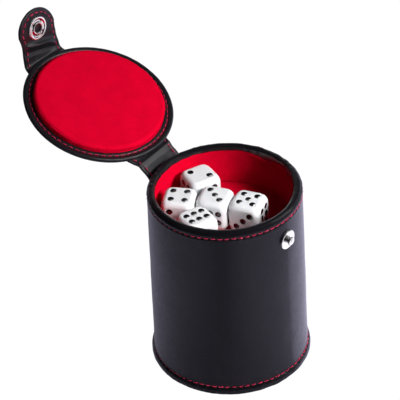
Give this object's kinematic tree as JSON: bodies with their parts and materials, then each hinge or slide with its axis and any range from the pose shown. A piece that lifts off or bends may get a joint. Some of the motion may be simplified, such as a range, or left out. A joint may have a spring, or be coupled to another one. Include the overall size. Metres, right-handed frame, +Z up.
{
  "type": "dice cup",
  "caption": "Black leather dice cup with red felt lining, a snap-closed hinged lid over a dice compartment, and white dice inside.",
  "frame": {"origin": "centre of the circular mouth plane the cup stands on", "axes": "+Z up along the cup's axis, from the mouth to the lidded end; +Y towards the lid's leather hinge; -Y towards the snap stud"},
  "size_m": [0.08, 0.1621, 0.1548],
  "materials": {
    "black_leather": "semi-gloss pebbled bonded leather",
    "lining_leather": "smooth satin",
    "board": "matt grey board",
    "red_felt": "napped wool felt",
    "red_thread": "waxed polyester thread",
    "nickel": "polished nickel plate",
    "spring_wire": "drawn wire",
    "die_white": "polished white",
    "pip_black": "gloss black paint"
  },
  "bodies": {
    "cup": {"core_tube": "board", "outer_leather": "black_leather", "partition_board": "board", "compartment_wall_felt": "red_felt", "compartment_floor_felt": "red_felt", "mouth_wall_felt": "red_felt", "mouth_floor_felt": "red_felt", "rim_stitching": "red_thread", "mouth_stitching": "red_thread", "snap_stud": "nickel", "snap_post": "nickel", "strap_tail_lining": "lining_leather", "strap_tail_leather": "black_leather", "strap_tail_stitching": "red_thread"},
    "lid": {"lid_outer_leather": "black_leather", "lid_board": "board", "lid_inner_leather": "black_leather", "lid_pad_board": "board", "lid_pad_felt": "red_felt", "hinge_neck_leather": "black_leather", "hinge_neck_lining": "lining_leather", "tab_neck_leather": "black_leather", "tab_neck_lining": "lining_leather", "lid_stitching": "red_thread"},
    "tab": {"tab_leather": "black_leather", "tab_lining": "lining_leather", "tab_stitching": "red_thread", "snap_cap": "nickel", "snap_socket": "nickel", "snap_spring": "spring_wire"},
    "die_1": {"die_1_body": "die_white", "die_1_pips": "pip_black"},
    "die_2": {"die_2_body": "die_white", "die_2_pips": "pip_black"},
    "die_3": {"die_3_body": "die_white", "die_3_pips": "pip_black"},
    "die_4": {"die_4_body": "die_white", "die_4_pips": "pip_black"},
    "die_5": {"die_5_body": "die_white", "die_5_pips": "pip_black"}
  },
  "joints": [
    {"name": "lid_hinge", "type": "hinge", "parent": "cup", "child": "lid", "pos_m": [0, 0.0411, 0.0999], "axis": [-1, 0, 0], "range_deg": [-160, 85]},
    {"name": "tab_bend", "type": "hinge", "parent": "lid", "child": "tab", "pos_m": [0, 0.11764, 0.1276], "axis": [-1, 0, 0], "range_deg": [-24, 66]},
    {"name": "die_1_lift", "type": "slide", "parent": "cup", "child": "die_1", "axis": [0, 0, 1], "range_m": [0, 0.06]},
    {"name": "die_2_lift", "type": "slide", "parent": "cup", "child": "die_2", "axis": [0, 0, 1], "range_m": [0, 0.06]},
    {"name": "die_3_lift", "type": "slide", "parent": "cup", "child": "die_3", "axis": [0, 0, 1], "range_m": [0, 0.06]},
    {"name": "die_4_lift", "type": "slide", "parent": "cup", "child": "die_4", "axis": [0, 0, 1], "range_m": [0, 0.06]},
    {"name": "die_5_lift", "type": "slide", "parent": "cup", "child": "die_5", "axis": [0, 0, 1], "range_m": [0, 0.06]}
  ]
}
